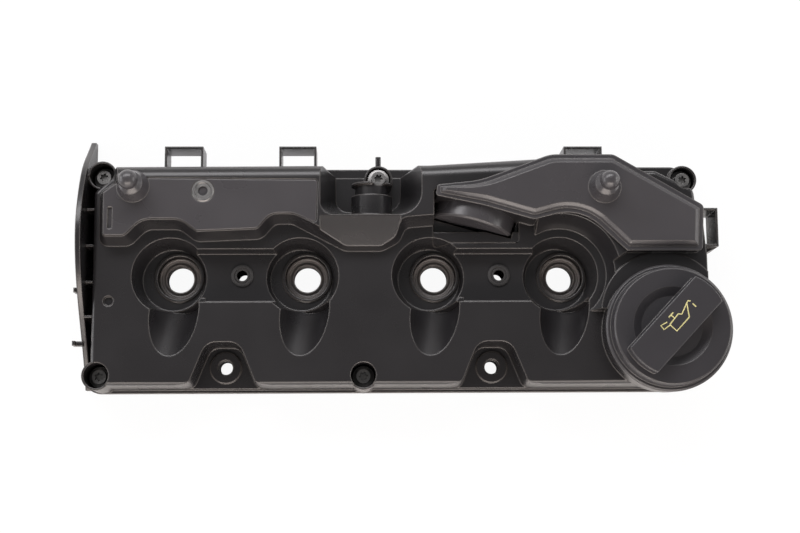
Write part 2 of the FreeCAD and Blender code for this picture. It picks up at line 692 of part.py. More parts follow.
def make_clamp_seal(x):
    bore = clamp_bore_radius - fit_gap
    top = clamp_pocket_floor
    return turned([
        (clamp_hole_radius, 0.0), (clamp_seal_flange_radius, 0.0),
        (clamp_seal_flange_radius, flange_bottom), (bore, flange_bottom), (bore, top),
        (clamp_seal_flange_radius, top), (clamp_seal_flange_radius, top + clamp_seal_flange - 0.5),
        (clamp_seal_flange_radius - 0.8, top + clamp_seal_flange), (clamp_hole_radius, top + clamp_seal_flange)], x)


def make_stud_sleeve(x):
    return tube(x, sleeve_y, sleeve_hole_radius + sleeve_wall, sleeve_hole_radius, 0.0, sleeve_top)


def make_bolts():
    clamp = bolt_seat + grommet_flange
    head_foot = clamp + bolt_washer
    head_top = head_foot + bolt_head_height
    socket = [Vector(bolt_socket_radius * math.cos(math.radians(60 * i)),
                     bolt_socket_radius * math.sin(math.radians(60 * i)), head_top - bolt_socket_depth)
              for i in range(6)]
    star = Part.Face(Part.makePolygon(socket + socket[:1])).extrude(UP * (bolt_socket_depth + 1))
    bolt = turned([
        (0.0, bolt_tip), (bolt_shank_radius - 0.8, bolt_tip), (bolt_shank_radius, bolt_tip + 1.2),
        (bolt_shank_radius, clamp), (bolt_washer_radius, clamp), (bolt_washer_radius, clamp + 0.8),
        (bolt_head_radius, head_foot), (bolt_head_radius, head_top - 0.6),
        (bolt_head_radius - 0.6, head_top), (0.0, head_top)]).cut(star)
    return group(bolt)


def group(piece):
    """One copy of a piece at each bolt."""
    copies = []
    for x, y in bolt_places:
        copy = piece.copy()
        copy.translate(Vector(x, y, 0))
        copies.append(copy)
    return Part.makeCompound(copies)


def make_grommets():
    bore = bolt_shank_radius + fit_gap + bolt_sleeve_wall + fit_gap
    top = bolt_seat + grommet_flange
    return group(turned([
        (bore, grommet_foot), (grommet_radius(), grommet_foot), (grommet_radius(), bolt_seat),
        (grommet_flange_radius, bolt_seat), (grommet_flange_radius, top - 1.0), (grommet_flange_radius - 1.0, top),
        (bore, top)]))


def make_bolt_sleeves():
    bore = bolt_shank_radius + fit_gap
    return group(tube(0, 0, bore + bolt_sleeve_wall, bore, flange_bottom, bolt_seat + grommet_flange))


def ball_stud(x, y, foot):
    """Ball stud on a cone; the ball's foot is cut by the neck so that it has no pole inside."""
    centre = foot + ball_height
    stem = turned([
        (0.0, foot - 1.0), (ball_neck_radius, foot - 1.0), (ball_neck_radius, foot), (ball_cone_radius, foot),
        (ball_neck_radius + 3.6, foot + ball_cone_height * 0.8), (ball_neck_radius, foot + ball_cone_height),
        (ball_neck_radius, centre), (0.0, centre)], x, y)
    return [stem, Part.makeSphere(ball_radius, Vector(x, y, centre))]


def make_left_lid():
    top = lid_left_bottom + lid_thickness
    plate = prism(lid_left_outline, lid_left_bottom, top)
    plate = plate.makeChamfer(0.5, [e for e in plate.Edges if e.BoundBox.ZMin > top - 0.1])
    rib = ring_prism(lid_left_outline, ledge + fit_gap, weld_rib, lid_left_bottom - weld_rib_depth,
                     lid_left_bottom + 1)
    body = join([plate, rib] + ball_stud(*ball_left, top))
    x, y = slot_centre
    slot = prism([(x - slot_width / 2, y - slot_length / 2, 0.8), (x + slot_width / 2, y - slot_length / 2, 0.8),
                  (x + slot_width / 2, y + slot_length / 2, 0.8), (x - slot_width / 2, y + slot_length / 2, 0.8)],
                 top - slot_depth, top + 1)
    seat = cylinder(*vent_place, vent_radius + fit_gap, top - vent_depth, top + 1)
    return body.cut(join([slot, seat]))


def make_vent():
    top = lid_left_bottom + lid_thickness
    return turned([
        (vent_hole_radius, top - vent_depth), (vent_radius, top - vent_depth), (vent_radius, top),
        (vent_radius - 0.6, top + 0.5), (vent_radius - 1.6, top + 0.5), (vent_radius - 2.2, top - 0.3),
        (vent_hole_radius, top - 0.3)], *vent_place)


def make_right_lid():
    foot = lid_right_bottom
    flange_z = foot + lid_right_flange
    shoulder = flange_z + lid_right_dome * 0.6
    top = flange_z + lid_right_dome
    plate = prism(lid_right_outline, foot, flange_z)
    lower = Part.makeLoft([outline(right_inset(lid_right_inset - 1.0), flange_z - 0.2),
                           outline(right_inset(lid_right_inset), shoulder)], True, True)
    upper = Part.makeLoft([outline(right_inset(lid_right_inset), shoulder),
                           outline(right_inset(lid_right_inset + lid_right_dome_slope), top)], True, True)
    rib = prism(right_inset(ledge + fit_gap), foot - weld_rib_depth, foot + 1)
    rib = rib.cut(prism(right_inset(ledge + fit_gap + weld_rib), foot - weld_rib_depth - 1, foot))
    return join([plate, lower, upper, rib] + ball_stud(*ball_right, top))


def make_left_floor():
    return prism(grown(lid_left_outline, -1.0), floor_plate_z, floor_plate_z + floor_plate)


def make_right_floor():
    plate = prism(right_inset(ledge - 1.0), floor_plate_z, floor_plate_z + floor_plate)
    return plate.common(box(floor_right_start, FAR, -FAR, floor_right_rear, 0, FAR))


def make_regulator_cap():
    depth = drum_cap_depth
    cup = turned([
        (0.0, -drum_cap_wall), (drum_radius - drum_cap_wall, -drum_cap_wall),
        (drum_radius - drum_cap_wall, -depth), (drum_radius, -depth), (drum_radius, -drum_cap_edge),
        (drum_radius - drum_cap_edge, 0.0), (0.0, 0.0)])
    return on_drum_axis(cup)


def make_diaphragm():
    """A flat rubber disc with one rolled fold round the plate."""
    back = -drum_cap_depth - diaphragm_thickness
    crest = (diaphragm_fold_inner + diaphragm_fold_outer) / 2
    rim = drum_radius - fit_gap
    half = 1.6
    return on_drum_axis(turned([
        (0.0, back), (diaphragm_fold_inner, back), (crest - half, back + diaphragm_fold),
        (crest + half, back + diaphragm_fold), (diaphragm_fold_outer, back), (rim, back),
        (rim, back + diaphragm_thickness), (diaphragm_fold_outer - 0.4, back + diaphragm_thickness),
        (crest + half - 0.4, back + diaphragm_fold + diaphragm_thickness),
        (crest - half + 0.4, back + diaphragm_fold + diaphragm_thickness),
        (diaphragm_fold_inner + 0.4, back + diaphragm_thickness), (0.0, back + diaphragm_thickness)]))


def make_plate():
    face = -drum_cap_depth - diaphragm_thickness
    return on_drum_axis(turned([
        (0.0, face - plate_thickness - plate_hub_length), (plate_hub_radius - 2, face - plate_thickness - plate_hub_length),
        (plate_hub_radius - 2, face - plate_thickness - 1), (plate_hub_radius, face - plate_thickness),
        (plate_radius, face - plate_thickness), (plate_radius, face), (0.0, face)]))


def make_spring():
    """A helix of square wire between the plate and the back of the barrel."""
    front = -drum_cap_depth - diaphragm_thickness - plate_thickness
    back = -drum_cap_depth - drum_barrel_depth
    half = regulator_spring_wire / 2
    length = front - back - regulator_spring_wire
    helix = Part.makeHelix(length / regulator_spring_turns, length, regulator_spring_radius)
    section = Part.makePolygon([
        Vector(regulator_spring_radius + a * half, 0, b * half) for a, b in
        [(-1, -1), (1, -1), (1, 1), (-1, 1), (-1, -1)]])
    wire = Part.Wire(helix.Edges).makePipeShell([section], True, True)
    wire.translate(Vector(0, 0, back + half))
    return on_drum_axis(wire)


def make_cap():
    """Filler cap: a flanged cover with a dished top and a hollow finger bar across it."""
    inner = cap_disc_radius - cap_wall
    under = cap_disc_top - cap_wall
    dish = cap_disc_top - cap_dish_depth
    shell = turned([
        (0.0, dish - cap_wall), (cap_dish_foot_radius, dish - cap_wall), (cap_dish_radius, under), (inner, under),
        (inner, cap_flange_top - 0.6), (cap_skirt_radius - cap_wall, cap_flange_top - 2.4),
        (cap_skirt_radius - cap_wall, cap_skirt_bottom), (cap_skirt_radius, cap_skirt_bottom),
        (cap_skirt_radius, cap_flange_top - 1.0), (cap_skirt_radius - 1.2, cap_flange_top),
        (cap_disc_radius + 0.6, cap_flange_top), (cap_disc_radius, cap_flange_top + 2.0),
        (cap_disc_radius, cap_disc_top - cap_edge), (cap_disc_radius - cap_edge, cap_disc_top),
        (cap_dish_radius, cap_disc_top), (cap_dish_foot_radius, dish), (0.0, dish)])
    disc = cylinder(0, 0, grip_half_length, dish - cap_wall, grip_top)
    edge_circle = [e for e in disc.Edges if e.BoundBox.ZMin > grip_top - 0.1]
    half = grip_width / 2
    bar = disc.makeFillet(1.0, edge_circle).common(box(-FAR, FAR, -half, half, 0, FAR))
    sides = [e for e in bar.Edges if e.BoundBox.ZMin > grip_top - 0.1 and e.BoundBox.XLength > grip_half_length]
    bar = bar.makeFillet(1.0, sides)
    inside = cylinder(0, 0, grip_half_length - grip_wall, dish - cap_wall - 1, grip_top - grip_wall)
    inside = inside.common(box(-FAR, FAR, -half + grip_wall, half - grip_wall, 0, FAR))
    cap = join([shell, bar]).cut(inside)
    cap.rotate(Vector(0, 0, 0), UP, grip_turn)
    cap.translate(Vector(*neck_centre, 0))
    return cap


def seal_centre_z():
    return neck_top + seal_gap + cap_seal_section


def make_cap_plug():
    """Plug under the cap: a flange over the rubber ring and a tube down into the neck."""
    flange_z = seal_centre_z() + cap_seal_section + seal_gap
    top = cap_disc_top - cap_dish_depth - cap_wall
    return turned([
        (plug_radius - plug_wall, plug_bottom), (plug_radius, plug_bottom), (plug_radius, flange_z),
        (plug_flange_radius, flange_z), (plug_flange_radius, flange_z + plug_flange),
        (plug_radius, flange_z + plug_flange), (plug_radius, top), (plug_radius - plug_wall, top)], *neck_centre)


def make_cap_seal():
    return Part.makeTorus(cap_seal_radius, cap_seal_section, Vector(*neck_centre, seal_centre_z()))


part_builders = {
    "cover_housing": make_housing,
    "left_separator_lid": make_left_lid,
    "right_separator_lid": make_right_lid,
    "vent_insert": make_vent,
    "left_separator_floor": make_left_floor,
    "right_separator_floor": make_right_floor,
    "perimeter_gasket": make_gasket,
    "regulator_cap": make_regulator_cap,
    "regulator_diaphragm": make_diaphragm,
    "regulator_plate": make_plate,
    "regulator_spring": make_spring,
    "cover_bolts": make_bolts,
    "bolt_grommets": make_grommets,
    "bolt_sleeves": make_bolt_sleeves,
    "oil_filler_cap": make_cap,
    "oil_cap_plug": make_cap_plug,
    "oil_cap_seal": make_cap_seal,
}
for i, place in enumerate(injector_xs):
    part_builders["injector_seal_%d" % (i + 1)] = lambda x=place: make_injector_seal(x)
for i, place in enumerate(clamp_xs):
    part_builders["clamp_bolt_seal_%d" % (i + 1)] = lambda x=place: make_clamp_seal(x)
for i, place in enumerate(bell_xs):
    part_builders["stud_sleeve_%d" % (i + 1)] = lambda x=place: make_stud_sleeve(x)

if __name__ == "__main__":
    os.makedirs("parts", exist_ok=True)
    for name, build in part_builders.items():
        shape = build()
        print(name, "solids", len(shape.Solids), "volume", round(shape.Volume), "valid", shape.isValid())
        shape.exportStep(os.path.join("parts", name + ".step"))
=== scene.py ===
# %% [markdown]
# # Engine valve cover
# The cover lies flat with its gasket down, and the photograph looks almost straight down on it.
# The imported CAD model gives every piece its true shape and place, in metres. This lesson loads it,
# sets up the camera and the light of a product photograph, and gives each piece a moulded, rubber or
# metal finish. Then it makes the seals and bolts again with their lips and lobes, closes two places
# where the model's wall is open, and draws the symbol on the filler cap.

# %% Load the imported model
import bpy
import math
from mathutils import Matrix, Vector


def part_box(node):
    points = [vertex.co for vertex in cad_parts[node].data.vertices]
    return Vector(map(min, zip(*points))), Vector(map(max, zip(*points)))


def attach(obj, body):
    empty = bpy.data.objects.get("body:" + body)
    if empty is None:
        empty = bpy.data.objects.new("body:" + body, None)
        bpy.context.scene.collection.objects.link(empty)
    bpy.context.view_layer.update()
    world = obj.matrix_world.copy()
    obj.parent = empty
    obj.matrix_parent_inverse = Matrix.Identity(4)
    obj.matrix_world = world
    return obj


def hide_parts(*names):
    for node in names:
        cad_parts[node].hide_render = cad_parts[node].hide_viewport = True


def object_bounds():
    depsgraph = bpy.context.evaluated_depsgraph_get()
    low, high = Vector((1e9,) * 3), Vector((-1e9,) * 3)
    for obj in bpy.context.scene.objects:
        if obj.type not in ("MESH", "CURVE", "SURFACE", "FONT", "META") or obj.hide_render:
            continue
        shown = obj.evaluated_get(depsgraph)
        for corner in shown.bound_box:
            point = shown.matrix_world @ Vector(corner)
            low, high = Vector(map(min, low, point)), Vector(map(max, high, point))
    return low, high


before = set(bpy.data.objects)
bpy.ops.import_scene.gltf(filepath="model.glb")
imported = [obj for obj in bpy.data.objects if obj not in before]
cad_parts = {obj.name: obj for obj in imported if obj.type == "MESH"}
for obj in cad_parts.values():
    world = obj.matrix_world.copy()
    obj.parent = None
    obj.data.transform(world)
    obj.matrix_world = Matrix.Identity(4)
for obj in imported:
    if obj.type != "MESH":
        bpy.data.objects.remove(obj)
cad_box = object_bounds()
scene = bpy.context.scene
nodes = {name: bpy.data.objects[name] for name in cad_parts}
mm = 0.001
print("pieces:", len(nodes), "box:", cad_box)

# %% [markdown]
# ## Camera
# The photograph was taken from about a metre above the part, a little in front of it and tilted by
# less than nine degrees. The place and the turn were found from the even pitch of the four injector
# holes and from the straight edges of the deck.

# %% Camera
camera_place = Vector((-5.384, -147.704, 1052.387)) * mm
camera_turn = [math.radians(angle) for angle in (8.573, -1.3797, -0.3312)]
camera_data = bpy.data.cameras.new("camera")
camera_data.sensor_width = 36.0
camera_data.lens = 67.68
camera = bpy.data.objects.new("camera", camera_data)
camera.location = camera_place
camera.rotation_euler = camera_turn
scene.collection.objects.link(camera)
scene.camera = camera
print("camera height above the table, mm:", round(camera_place.z / mm))

# %% [markdown]
# ## Table
# The background is plain white, also where it shows through the injector holes. The table glows
# nearly white to the camera alone, and the rest of it is matt white paint, which takes a soft shadow
# and throws light back on the cover.

# %% Table
table_size = 6.0
table_gap = 0.2 * mm
table_glow = 0.94
bpy.ops.mesh.primitive_plane_add(size=table_size, location=(0.0, 0.0, cad_box[0][2] - table_gap))
table = bpy.context.object
table.name = "table"
table_material = bpy.data.materials.new("white_table")
table_material.use_nodes = True
tree = table_material.node_tree
tree.nodes.clear()
output = tree.nodes.new("ShaderNodeOutputMaterial")
blend = tree.nodes.new("ShaderNodeMixShader")
paint = tree.nodes.new("ShaderNodeBsdfDiffuse")
paint.inputs["Color"].default_value = (0.9, 0.9, 0.9, 1.0)
glow = tree.nodes.new("ShaderNodeEmission")
glow.inputs["Color"].default_value = (1.0, 1.0, 1.0, 1.0)
ray = tree.nodes.new("ShaderNodeLightPath")
share = tree.nodes.new("ShaderNodeMath")
share.operation = "MULTIPLY"
share.inputs[1].default_value = table_glow
tree.links.new(ray.outputs["Is Camera Ray"], share.inputs[0])
tree.links.new(share.outputs[0], blend.inputs[0])
tree.links.new(paint.outputs[0], blend.inputs[1])
tree.links.new(glow.outputs[0], blend.inputs[2])
tree.links.new(blend.outputs[0], output.inputs["Surface"])
table.data.materials.append(table_material)
print("table at, mm:", round(table.location.z / mm, 2))

# %% [markdown]
# ## Light
# Black plastic is drawn by what it reflects. A wide warm panel in front lights the slopes that face
# the viewer, and a lower one reaches the front wall. A panel on each side draws the ends, and a
# strong one behind draws the rounded rear edge. The sky is bright near the horizon and dim straight
# above, so that the flat deck stays dark.

# %% Lights
cover_middle = Vector((0.0, 0.0, 30.0)) * mm


def panel(name, place, size, power, colour):
    """A soft panel that points at the middle of the cover."""
    data = bpy.data.lights.new(name, "AREA")
    data.shape = "RECTANGLE"
    data.size, data.size_y = size
    data.energy = power
    data.color = colour
    light = bpy.data.objects.new(name, data)
    light.location = place
    aim = cover_middle - Vector(place)
    light.rotation_euler = aim.to_track_quat("-Z", "Y").to_euler()
    scene.collection.objects.link(light)


panel("front_panel", (0.0, -1.08, 0.82), (1.5, 0.5), 16.0, (1.0, 0.89, 0.82))
panel("low_front_panel", (0.0, -1.35, 0.32), (1.6, 0.4), 5.0, (1.0, 0.9, 0.84))
panel("left_panel", (-1.35, 0.1, 0.4), (1.0, 0.4), 5.0, (0.98, 0.98, 1.0))
panel("right_panel", (1.35, 0.1, 0.4), (1.0, 0.4), 5.0, (1.0, 0.98, 0.96))
panel("rear_panel", (-0.2, 0.95, 1.02), (1.8, 0.55), 20.0, (1.0, 0.98, 1.0))
world = bpy.data.worlds.new("studio")
scene.world = world
world.use_nodes = True
tree = world.node_tree
sky = tree.nodes["Background"]
sky.inputs["Color"].default_value = (1.0, 0.975, 0.97, 1.0)
direction = tree.nodes.new("ShaderNodeTexCoord")
parts = tree.nodes.new("ShaderNodeSeparateXYZ")
fade = tree.nodes.new("ShaderNodeMapRange")
fade.interpolation_type = "SMOOTHSTEP"
fade.inputs["From Min"].default_value = 0.35
fade.inputs["From Max"].default_value = 0.97
fade.inputs["To Min"].default_value = 0.7
fade.inputs["To Max"].default_value = 0.22
tree.links.new(direction.outputs["Generated"], parts.inputs["Vector"])
tree.links.new(parts.outputs["Z"], fade.inputs["Value"])
tree.links.new(fade.outputs["Result"], sky.inputs["Strength"])
scene.view_settings.view_transform = "Standard"

# %% [markdown]
# ## Moulded plastic
# The cover is glass-filled nylon, black all through, with the fine grain of its mould and broad, faint
# marks where the melt flowed. Its edges are rounded, and those small rounds catch the light as pale
# lines. The Bevel node gives that round to the shading, and where it bends the normal most the colour is
# also painted paler, a painted highlight along each edge. The welded lids are a little paler than the
# housing.

# %% Plastic finish
def new_material(name):
    """A new material, with its node tree and its Principled shader."""
    material = bpy.data.materials.new(name)
    material.use_nodes = True
    return material, material.node_tree, material.node_tree.nodes["Principled BSDF"]


def moulded(name, colour, edge_highlight_colour, roughness, grain, edge_round):
    """Black plastic with mould grain, faint flow marks and a painted highlight along its edges."""
    mottle = 0.2
    material, tree, shader = new_material(name)
    place = tree.nodes.new("ShaderNodeTexCoord")
    fine = tree.nodes.new("ShaderNodeTexNoise")
    fine.inputs["Scale"].default_value = 1400.0
    fine.inputs["Detail"].default_value = 3.0
    marks = tree.nodes.new("ShaderNodeTexNoise")
    marks.inputs["Scale"].default_value = 22.0
    marks.inputs["Detail"].default_value = 5.0
    tree.links.new(place.outputs["Object"], fine.inputs["Vector"])
    tree.links.new(place.outputs["Object"], marks.inputs["Vector"])
    rounded = tree.nodes.new("ShaderNodeBevel")
    rounded.samples = 8
    rounded.inputs["Radius"].default_value = edge_round
    bump = tree.nodes.new("ShaderNodeBump")
    bump.inputs["Strength"].default_value = grain
    bump.inputs["Distance"].default_value = 0.05 * mm
    tree.links.new(fine.outputs["Fac"], bump.inputs["Height"])
    tree.links.new(rounded.outputs["Normal"], bump.inputs["Normal"])
    tree.links.new(bump.outputs["Normal"], shader.inputs["Normal"])
    flat = tree.nodes.new("ShaderNodeNewGeometry")
    agree = tree.nodes.new("ShaderNodeVectorMath")
    agree.operation = "DOT_PRODUCT"
    tree.links.new(flat.outputs["Normal"], agree.inputs[0])
    tree.links.new(rounded.outputs["Normal"], agree.inputs[1])
    # Painted highlight: where the Bevel normal leaves the true normal, the colour is mixed towards a
    # pale edge colour.
    edge = tree.nodes.new("ShaderNodeMapRange")
    edge.inputs["From Min"].default_value = 0.995
    edge.inputs["From Max"].default_value = 0.88
    tree.links.new(agree.outputs["Value"], edge.inputs["Value"])
    tone = tree.nodes.new("ShaderNodeMix")
    tone.data_type = "RGBA"
    tone.inputs["A"].default_value = (*[(1.0 - mottle) * c for c in colour], 1.0)
    tone.inputs["B"].default_value = (*[(1.0 + mottle) * c for c in colour], 1.0)
    tree.links.new(marks.outputs["Fac"], tone.inputs["Factor"])
    painted_edge_highlight = tree.nodes.new("ShaderNodeMix")
    painted_edge_highlight.data_type = "RGBA"
    painted_edge_highlight.inputs["B"].default_value = (*edge_highlight_colour, 1.0)
    tree.links.new(edge.outputs["Result"], painted_edge_highlight.inputs["Factor"])
    tree.links.new(tone.outputs["Result"], painted_edge_highlight.inputs["A"])
    tree.links.new(painted_edge_highlight.outputs["Result"], shader.inputs["Base Color"])
    gloss = tree.nodes.new("ShaderNodeMapRange")
    gloss.inputs["To Min"].default_value = roughness - 0.05
    gloss.inputs["To Max"].default_value = roughness + 0.07
    tree.links.new(marks.outputs["Fac"], gloss.inputs["Value"])
    tree.links.new(gloss.outputs["Result"], shader.inputs["Roughness"])
    return material


# The second colour of each plastic is its painted edge highlight.
housing_plastic = moulded(
    "housing_plastic", (0.014, 0.0133, 0.0143), (0.06, 0.055, 0.052), 0.27, 0.2, 1.5 * mm)
lid_plastic = moulded("lid_plastic", (0.04, 0.038, 0.041), (0.09, 0.085, 0.08), 0.27, 0.14, 1.2 * mm)
cap_plastic = moulded("cap_plastic", (0.026, 0.025, 0.028), (0.09, 0.085, 0.08), 0.3, 0.12, 1.0 * mm)
print("plastics:", housing_plastic.name, lid_plastic.name, cap_plastic.name)

# %% [markdown]
# ## Rubber
# The gasket, the grommets and the clamp seals are matt black rubber with a powdery surface. The injector
# seals are of the same kind, but glossier, and they are painted paler: a painted highlight for the light
# that their lips catch.

# %% Rubber finish
def moulded_rubber(name, colour, lowest, highest):
    """Rubber with a powdery surface, between two roughness values."""
    material, tree, shader = new_material(name)
    shader.inputs["Base Color"].default_value = (*colour, 1.0)
    place = tree.nodes.new("ShaderNodeTexCoord")
    powder = tree.nodes.new("ShaderNodeTexNoise")
    powder.inputs["Scale"].default_value = 700.0
    powder.inputs["Detail"].default_value = 4.0
    rough = tree.nodes.new("ShaderNodeMapRange")
    rough.inputs["To Min"].default_value = lowest
    rough.inputs["To Max"].default_value = highest
    bump = tree.nodes.new("ShaderNodeBump")
    bump.inputs["Strength"].default_value = 0.3
    bump.inputs["Distance"].default_value = 0.05 * mm
    tree.links.new(place.outputs["Object"], powder.inputs["Vector"])
    tree.links.new(powder.outputs["Fac"], rough.inputs["Value"])
    tree.links.new(rough.outputs["Result"], shader.inputs["Roughness"])
    tree.links.new(powder.outputs["Fac"], bump.inputs["Height"])
    tree.links.new(bump.outputs["Normal"], shader.inputs["Normal"])
    return material


rubber = moulded_rubber("gasket_rubber", (0.022, 0.021, 0.021), 0.5, 0.75)
# Painted highlight: the injector seals' rubber is painted paler than the gasket's, for the light that
# their lips catch.
painted_pale_seal_rubber = moulded_rubber("seal_rubber_painted_pale", (0.14, 0.128, 0.122), 0.3, 0.5)
print("rubbers:", rubber.name, painted_pale_seal_rubber.name)

# %% [markdown]
# ## Steel
# The bolts, the sleeves, the spring and the vent insert are steel with a dark finish. A fine noise
# makes it brighter and rougher in patches, as handling does.

# %% Steel finish
steel, tree, shader = new_material("dark_steel")
shader.inputs["Metallic"].default_value = 1.0
place = tree.nodes.new("ShaderNodeTexCoord")
scuffs = tree.nodes.new("ShaderNodeTexNoise")
scuffs.inputs["Scale"].default_value = 260.0
scuffs.inputs["Detail"].default_value = 6.0
tone = tree.nodes.new("ShaderNodeMix")
tone.data_type = "RGBA"
tone.inputs["A"].default_value = (0.10, 0.10, 0.103, 1.0)
tone.inputs["B"].default_value = (0.30, 0.295, 0.285, 1.0)
rough = tree.nodes.new("ShaderNodeMapRange")
rough.inputs["To Min"].default_value = 0.28
rough.inputs["To Max"].default_value = 0.5
rounded = tree.nodes.new("ShaderNodeBevel")
rounded.samples = 6
rounded.inputs["Radius"].default_value = 0.25 * mm
tree.links.new(place.outputs["Object"], scuffs.inputs["Vector"])
tree.links.new(scuffs.outputs["Fac"], tone.inputs["Factor"])
tree.links.new(tone.outputs["Result"], shader.inputs["Base Color"])
tree.links.new(scuffs.outputs["Fac"], rough.inputs["Value"])
tree.links.new(rough.outputs["Result"], shader.inputs["Roughness"])
tree.links.new(rounded.outputs["Normal"], shader.inputs["Normal"])
print("steel:", steel.name)

# %% [markdown]
# ## A finish for every piece
# The moulded and the metal pieces are named here. Every piece that isn't named is rubber.

# %% Give every CAD piece its finish
finishes = {
    "cover_housing": housing_plastic,
    "left_separator_floor": housing_plastic,
    "right_separator_floor": housing_plastic,
    "regulator_plate": housing_plastic,
    "left_separator_lid": lid_plastic,
    "right_separator_lid": lid_plastic,
    "regulator_cap": lid_plastic,
    "oil_filler_cap": cap_plastic,
    "oil_cap_plug": cap_plastic,
    "cover_bolts": steel,
    "bolt_sleeves": steel,
    "regulator_spring": steel,
    "vent_insert": steel,
    "stud_sleeve_1": steel,
    "stud_sleeve_2": steel}
for name, node in nodes.items():
    node.data.materials.clear()
    node.data.materials.append(finishes.get(name, rubber))
print("finished:", len(nodes))

# %% [markdown]
# ## Small modelling helpers
# Round pieces are turned from a ring: a circle is added at its place, and each step extrudes the
# last ring, scales it about its centre and lifts it. Other pieces start as a cylinder, a cone or a
# block, and are cut with the Boolean modifier or along a plane. All of them keep their object at the
# origin, so that a pattern stays on its piece.

# %% Helpers for places and objects
def middle(name):
    """The middle of a CAD piece's box, seen from above."""
    low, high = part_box(name)
    return (low[0] + high[0]) / 2, (low[1] + high[1]) / 2


def heading(turn, rise):
    """A unit direction towards the front, turned to the left and raised by two angles."""
    return Vector((-math.sin(turn) * math.cos(rise), -math.cos(turn) * math.cos(rise), math.sin(rise)))


def select_only(piece):
    """Makes one piece the selected and active object."""
    bpy.ops.object.select_all(action="DESELECT")
    piece.select_set(True)
    bpy.context.view_layer.objects.active = piece


def keep_place(piece):
    """Puts a piece's place into its mesh, so that its object lies at the origin."""
    select_only(piece)
    bpy.ops.object.transform_apply(location=True, rotation=True, scale=True)


def dress(piece, body, finish):
    """Gives a new piece its finish and the body that carries it."""
    piece.data.materials.clear()
    piece.data.materials.append(finish)
    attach(piece, body)


# %% Helpers for shapes
def turned(name, x, y, steps, sides=96):
    """A closed ring-shaped piece from (radius, height) steps in millimetres, outside first, upwards."""
    bpy.ops.object.select_all(action="DESELECT")
    radius, height = steps[0]
    centre = Vector((x, y, height * mm))
    bpy.ops.mesh.primitive_circle_add(vertices=sides, radius=radius * mm, location=centre)
    piece = bpy.context.object
    piece.name = name
    keep_place(piece)
    bpy.ops.object.mode_set(mode="EDIT")
    bpy.ops.mesh.select_all(action="SELECT")
    for next_radius, next_height in [*steps[1:], steps[0]]:
        bpy.ops.mesh.extrude_region_move()
        size = next_radius / radius
        bpy.ops.transform.resize(value=(size, size, 1.0), center_override=(x, y, 0.0))
        bpy.ops.transform.translate(value=(0.0, 0.0, (next_height - height) * mm))
        radius, height = next_radius, next_height
    bpy.ops.mesh.select_all(action="SELECT")
    bpy.ops.mesh.remove_doubles(threshold=0.005 * mm)
    bpy.ops.mesh.normals_make_consistent(inside=False)
    bpy.ops.object.mode_set(mode="OBJECT")
    bpy.ops.object.shade_smooth_by_angle(angle=math.radians(40))
    return piece


def bar_between(start, end, radius, sides=64):
    """A cylinder between two points, as a cutting tool or a blank."""
    run = end - start
    bpy.ops.mesh.primitive_cylinder_add(
        vertices=sides, radius=radius, depth=run.length, location=(start + end) / 2,
        rotation=run.to_track_quat("Z", "Y").to_euler())
    bar = bpy.context.object
    keep_place(bar)
    return bar


def upright(radius, low, high, x=0.0, y=0.0, sides=64):
    """A round bar along Z between two heights."""
    return bar_between(Vector((x, y, low)), Vector((x, y, high)), radius, sides)


def cone(low_radius, high_radius, low, high, x=0.0, y=0.0, sides=128):
    """An upright cone without its point, between two heights."""
    bpy.ops.mesh.primitive_cone_add(
        vertices=sides, radius1=low_radius, radius2=high_radius, depth=high - low,
        location=(x, y, (low + high) / 2))
    stump = bpy.context.object
    keep_place(stump)
    return stump


def combine(piece, tool, operation):
    """Applies a Boolean operation with a tool, and removes the tool."""
    select_only(piece)
    change = piece.modifiers.new("change", "BOOLEAN")
    change.operation = operation
    change.solver = "EXACT"
    change.object = tool
    bpy.ops.object.modifier_apply(modifier=change.name)
    bpy.data.objects.remove(tool, do_unlink=True)


def cut_away(piece, tool):
    """Cuts a tool out of a piece."""
    combine(piece, tool, "DIFFERENCE")


def join_on(piece, tool):
    """Makes a tool part of a piece."""
    combine(piece, tool, "UNION")


def trim(piece, cuts):
    """Cuts a piece along planes: each has a point on it and the direction of what goes."""
    select_only(piece)
    bpy.ops.object.mode_set(mode="EDIT")
    for point, outward in cuts:
        bpy.ops.mesh.select_all(action="SELECT")
        bpy.ops.mesh.bisect(plane_co=point, plane_no=outward, clear_outer=True, use_fill=True)
    bpy.ops.mesh.select_all(action="SELECT")
    bpy.ops.mesh.normals_make_consistent(inside=False)
    bpy.ops.object.mode_set(mode="OBJECT")


injector_xs = [middle(f"injector_seal_{index}")[0] for index in (1, 2, 3, 4)]
print("injectors at, mm:", [round(x / mm, 1) for x in injector_xs])

# %% [markdown]
# ## Injector seals
# A rubber seal is pressed into each well's bore. Its top is a soft ring with a groove, and a raised
# lip wipes the injector. It is turned once for each well, with the CAD seal's bore and height.

# %% Injector seals
seal_steps = [
    (14.9, 1.3), (14.9, 13.6), (14.5, 14.2), (13.7, 14.4), (13.1, 14.1), (12.8, 13.2), (12.4, 12.5),
    (11.6, 12.3), (11.0, 12.7), (10.6, 13.5), (10.1, 13.9), (9.6, 13.8), (9.3, 13.2), (9.25, 12.2),
    (9.6, 10.5), (9.4, 1.3)]
for index, x in enumerate(injector_xs, start=1):
    seal = turned(f"lipped_seal_{index}", x, 0.0, seal_steps)
    dress(seal, "cover", painted_pale_seal_rubber)
    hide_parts(f"injector_seal_{index}")
    print(seal.name, "triangles:", 2 * len(seal.data.polygons))

# %% [markdown]
# ## Clamp bolt seals
# Between two wells a smaller seal lines the hole for the bolt that clamps the injectors. Only its
# collar and lip touch the bolt, so the sleeve below them is wider, and daylight shows through it.

